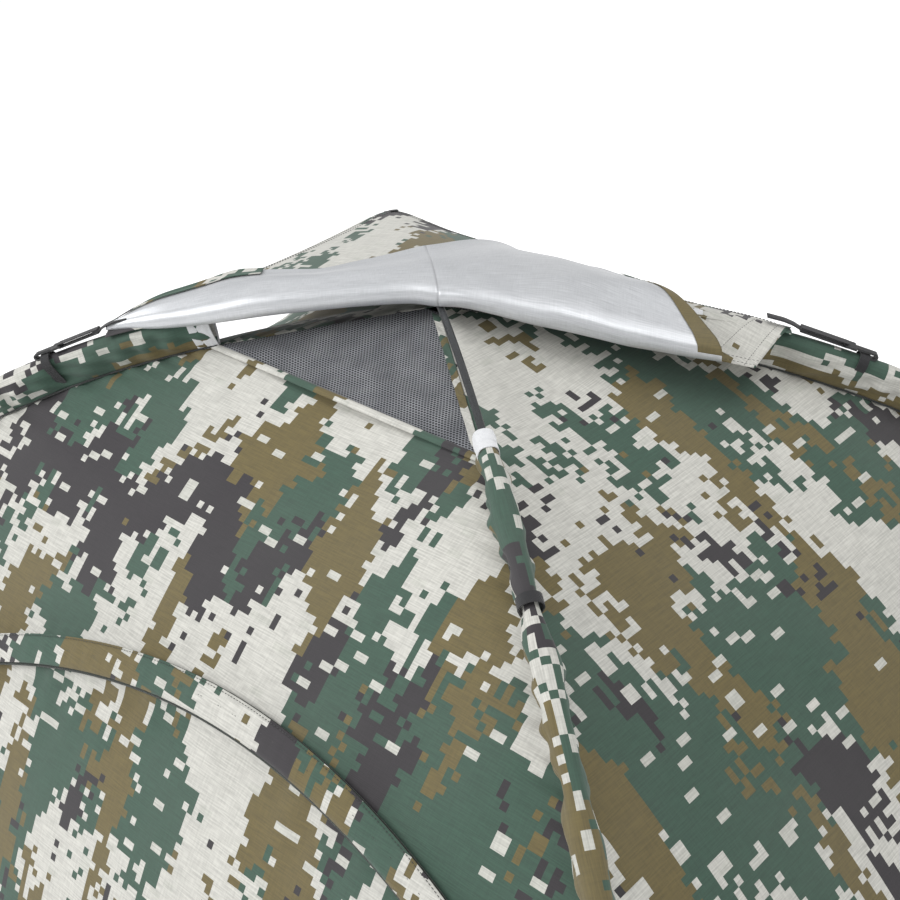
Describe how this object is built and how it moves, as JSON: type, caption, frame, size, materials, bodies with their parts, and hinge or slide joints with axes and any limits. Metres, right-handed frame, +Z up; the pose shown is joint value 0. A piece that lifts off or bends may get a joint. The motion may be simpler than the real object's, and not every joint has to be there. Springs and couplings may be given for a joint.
{
  "type": "dome tent blind",
  "caption": "Dome tent hide with crossed bent poles in cloth sleeves, mesh top vents, an arched zip door and a hooked rain cap with one corner turned back.",
  "frame": {"origin": "centre of the footprint, on the surface the groundsheet lies on", "axes": "+Z up, door wall towards -Y, long side along X; left, right, front and back name the pole legs"},
  "size_m": [2.1142, 1.5944, 1.1461],
  "materials": {
    "pole_fibreglass": "smooth satin resin over glass fibre",
    "bare_metal": "plated, slightly scuffed",
    "shock_cord": "woven cover",
    "white_tape": "woven binding tape",
    "black_webbing": "coarse woven webbing",
    "black_plastic": "moulded, slightly glossy",
    "grey_mesh": "fine open net",
    "zip_tape": "woven tape with coil teeth",
    "zip_metal": "black enamel, worn at edges",
    "groundsheet": "coated woven polyethylene",
    "cap_coated_cloth": "silver coated underside of the printed cloth",
    "camouflage_cloth": "printed plain-weave polyester"
  },
  "bodies": {
    "tent": {"back_mesh_vent": "grey_mesh", "back_wall": "camouflage_cloth", "cap_rear": "camouflage_cloth", "cap_strap_back": "black_webbing", "cap_strap_left": "black_webbing", "cap_strap_right": "black_webbing", "corner_eyelets": "bare_metal", "corner_tabs": "black_webbing", "front_mesh_vent": "grey_mesh", "front_wall": "camouflage_cloth", "groundsheet": "groundsheet", "left_wall": "camouflage_cloth", "lower_pole_ferrules": "bare_metal", "lower_pole_section_1": "pole_fibreglass", "lower_pole_section_2": "pole_fibreglass", "lower_pole_section_3": "pole_fibreglass", "lower_pole_section_4": "pole_fibreglass", "lower_pole_section_5": "pole_fibreglass", "lower_pole_section_6": "pole_fibreglass", "lower_pole_section_7": "pole_fibreglass", "lower_pole_shock_cord": "shock_cord", "pole_tips": "bare_metal", "right_wall": "camouflage_cloth", "sleeve_back": "camouflage_cloth", "sleeve_bindings": "white_tape", "sleeve_front": "camouflage_cloth", "sleeve_left": "camouflage_cloth", "sleeve_loops": "black_webbing", "sleeve_right": "camouflage_cloth", "upper_pole_ferrules": "bare_metal", "upper_pole_section_1": "pole_fibreglass", "upper_pole_section_2": "pole_fibreglass", "upper_pole_section_3": "pole_fibreglass", "upper_pole_section_4": "pole_fibreglass", "upper_pole_section_5": "pole_fibreglass", "upper_pole_section_6": "pole_fibreglass", "upper_pole_section_7": "pole_fibreglass", "upper_pole_shock_cord": "shock_cord", "zip_cover_strip": "camouflage_cloth", "zip_tape_wall": "zip_tape"},
    "door": {"door_panel": "camouflage_cloth", "zip_tape_door": "zip_tape"},
    "slider_left": {"zip_slider_left": "zip_metal"},
    "slider_right": {"zip_slider_right": "zip_metal"},
    "pull_left": {"zip_pull_left": "zip_metal"},
    "pull_right": {"zip_pull_right": "zip_metal"},
    "cap_left": {"cap_flap_left": "cap_coated_cloth"},
    "cap_right": {"cap_flap_right": "cap_coated_cloth", "cap_strap_front": "black_webbing"},
    "hook_left": {"cap_hook_left": "black_plastic"},
    "hook_right": {"cap_hook_right": "black_plastic"},
    "hook_back": {"cap_hook_back": "black_plastic"},
    "hook_front": {"cap_hook_front": "black_plastic"}
  },
  "joints": [
    {"name": "cap_left_fold", "type": "hinge", "parent": "tent", "child": "cap_left", "pos_m": [0, 0, 1.144], "axis": [0.7782, 0.5837, 0.2318], "range_deg": [0, 214.35]},
    {"name": "cap_right_fold", "type": "hinge", "parent": "tent", "child": "cap_right", "pos_m": [0, 0, 1.144], "axis": [0.7782, 0.5837, -0.2318], "range_deg": [0, 199.74]},
    {"name": "front_hook_swing", "type": "hinge", "parent": "cap_right", "child": "hook_front", "pos_m": [-0.1208, 0.38225, 0.92885], "axis": [1, 0, 0], "range_deg": [0, 83]},
    {"name": "door_fold", "type": "hinge", "parent": "tent", "child": "door", "pos_m": [0, -0.72328, 0.0702], "axis": [1, 0, 0], "range_deg": [0, 112]},
    {"name": "left_hook_pull", "type": "slide", "parent": "tent", "child": "hook_left", "axis": [-0.7462, -0.5597, -0.3605], "range_m": [0, 0.014], "stiffness_N_per_m": 150, "springref_m": -0.01, "deforming": ["cap_strap_left"]},
    {"name": "right_hook_pull", "type": "slide", "parent": "tent", "child": "hook_right", "axis": [0.7462, 0.5597, -0.3605], "range_m": [0, 0.014], "stiffness_N_per_m": 150, "springref_m": -0.01, "deforming": ["cap_strap_right"]},
    {"name": "back_hook_pull", "type": "slide", "parent": "tent", "child": "hook_back", "axis": [-0.7463, 0.5597, -0.3602], "range_m": [0, 0.014], "stiffness_N_per_m": 150, "springref_m": -0.01, "deforming": ["cap_strap_back"]},
    {"name": "left_slider_run", "type": "hinge", "parent": "tent", "child": "slider_left", "pos_m": [0, 0.99747, -0.11296], "axis": [-1, 0, 0], "range_deg": [0, 13.25]},
    {"name": "left_pull_swing", "type": "hinge", "parent": "slider_left", "child": "pull_left", "pos_m": [-0.4065, -0.72236, 0.13288], "axis": [-1, 0, 0], "range_deg": [0, 95]},
    {"name": "right_slider_run", "type": "hinge", "parent": "tent", "child": "slider_right", "pos_m": [0, 0.99747, -0.11296], "axis": [-1, 0, 0], "range_deg": [0, 13.25]},
    {"name": "right_pull_swing", "type": "hinge", "parent": "slider_right", "child": "pull_right", "pos_m": [0.6665, -0.72236, 0.13288], "axis": [-1, 0, 0], "range_deg": [0, 95]}
  ],
  "couplings": [
    {"joint": "cap_right_fold", "follows": "cap_left_fold", "ratio": 0.93177}
  ]
}
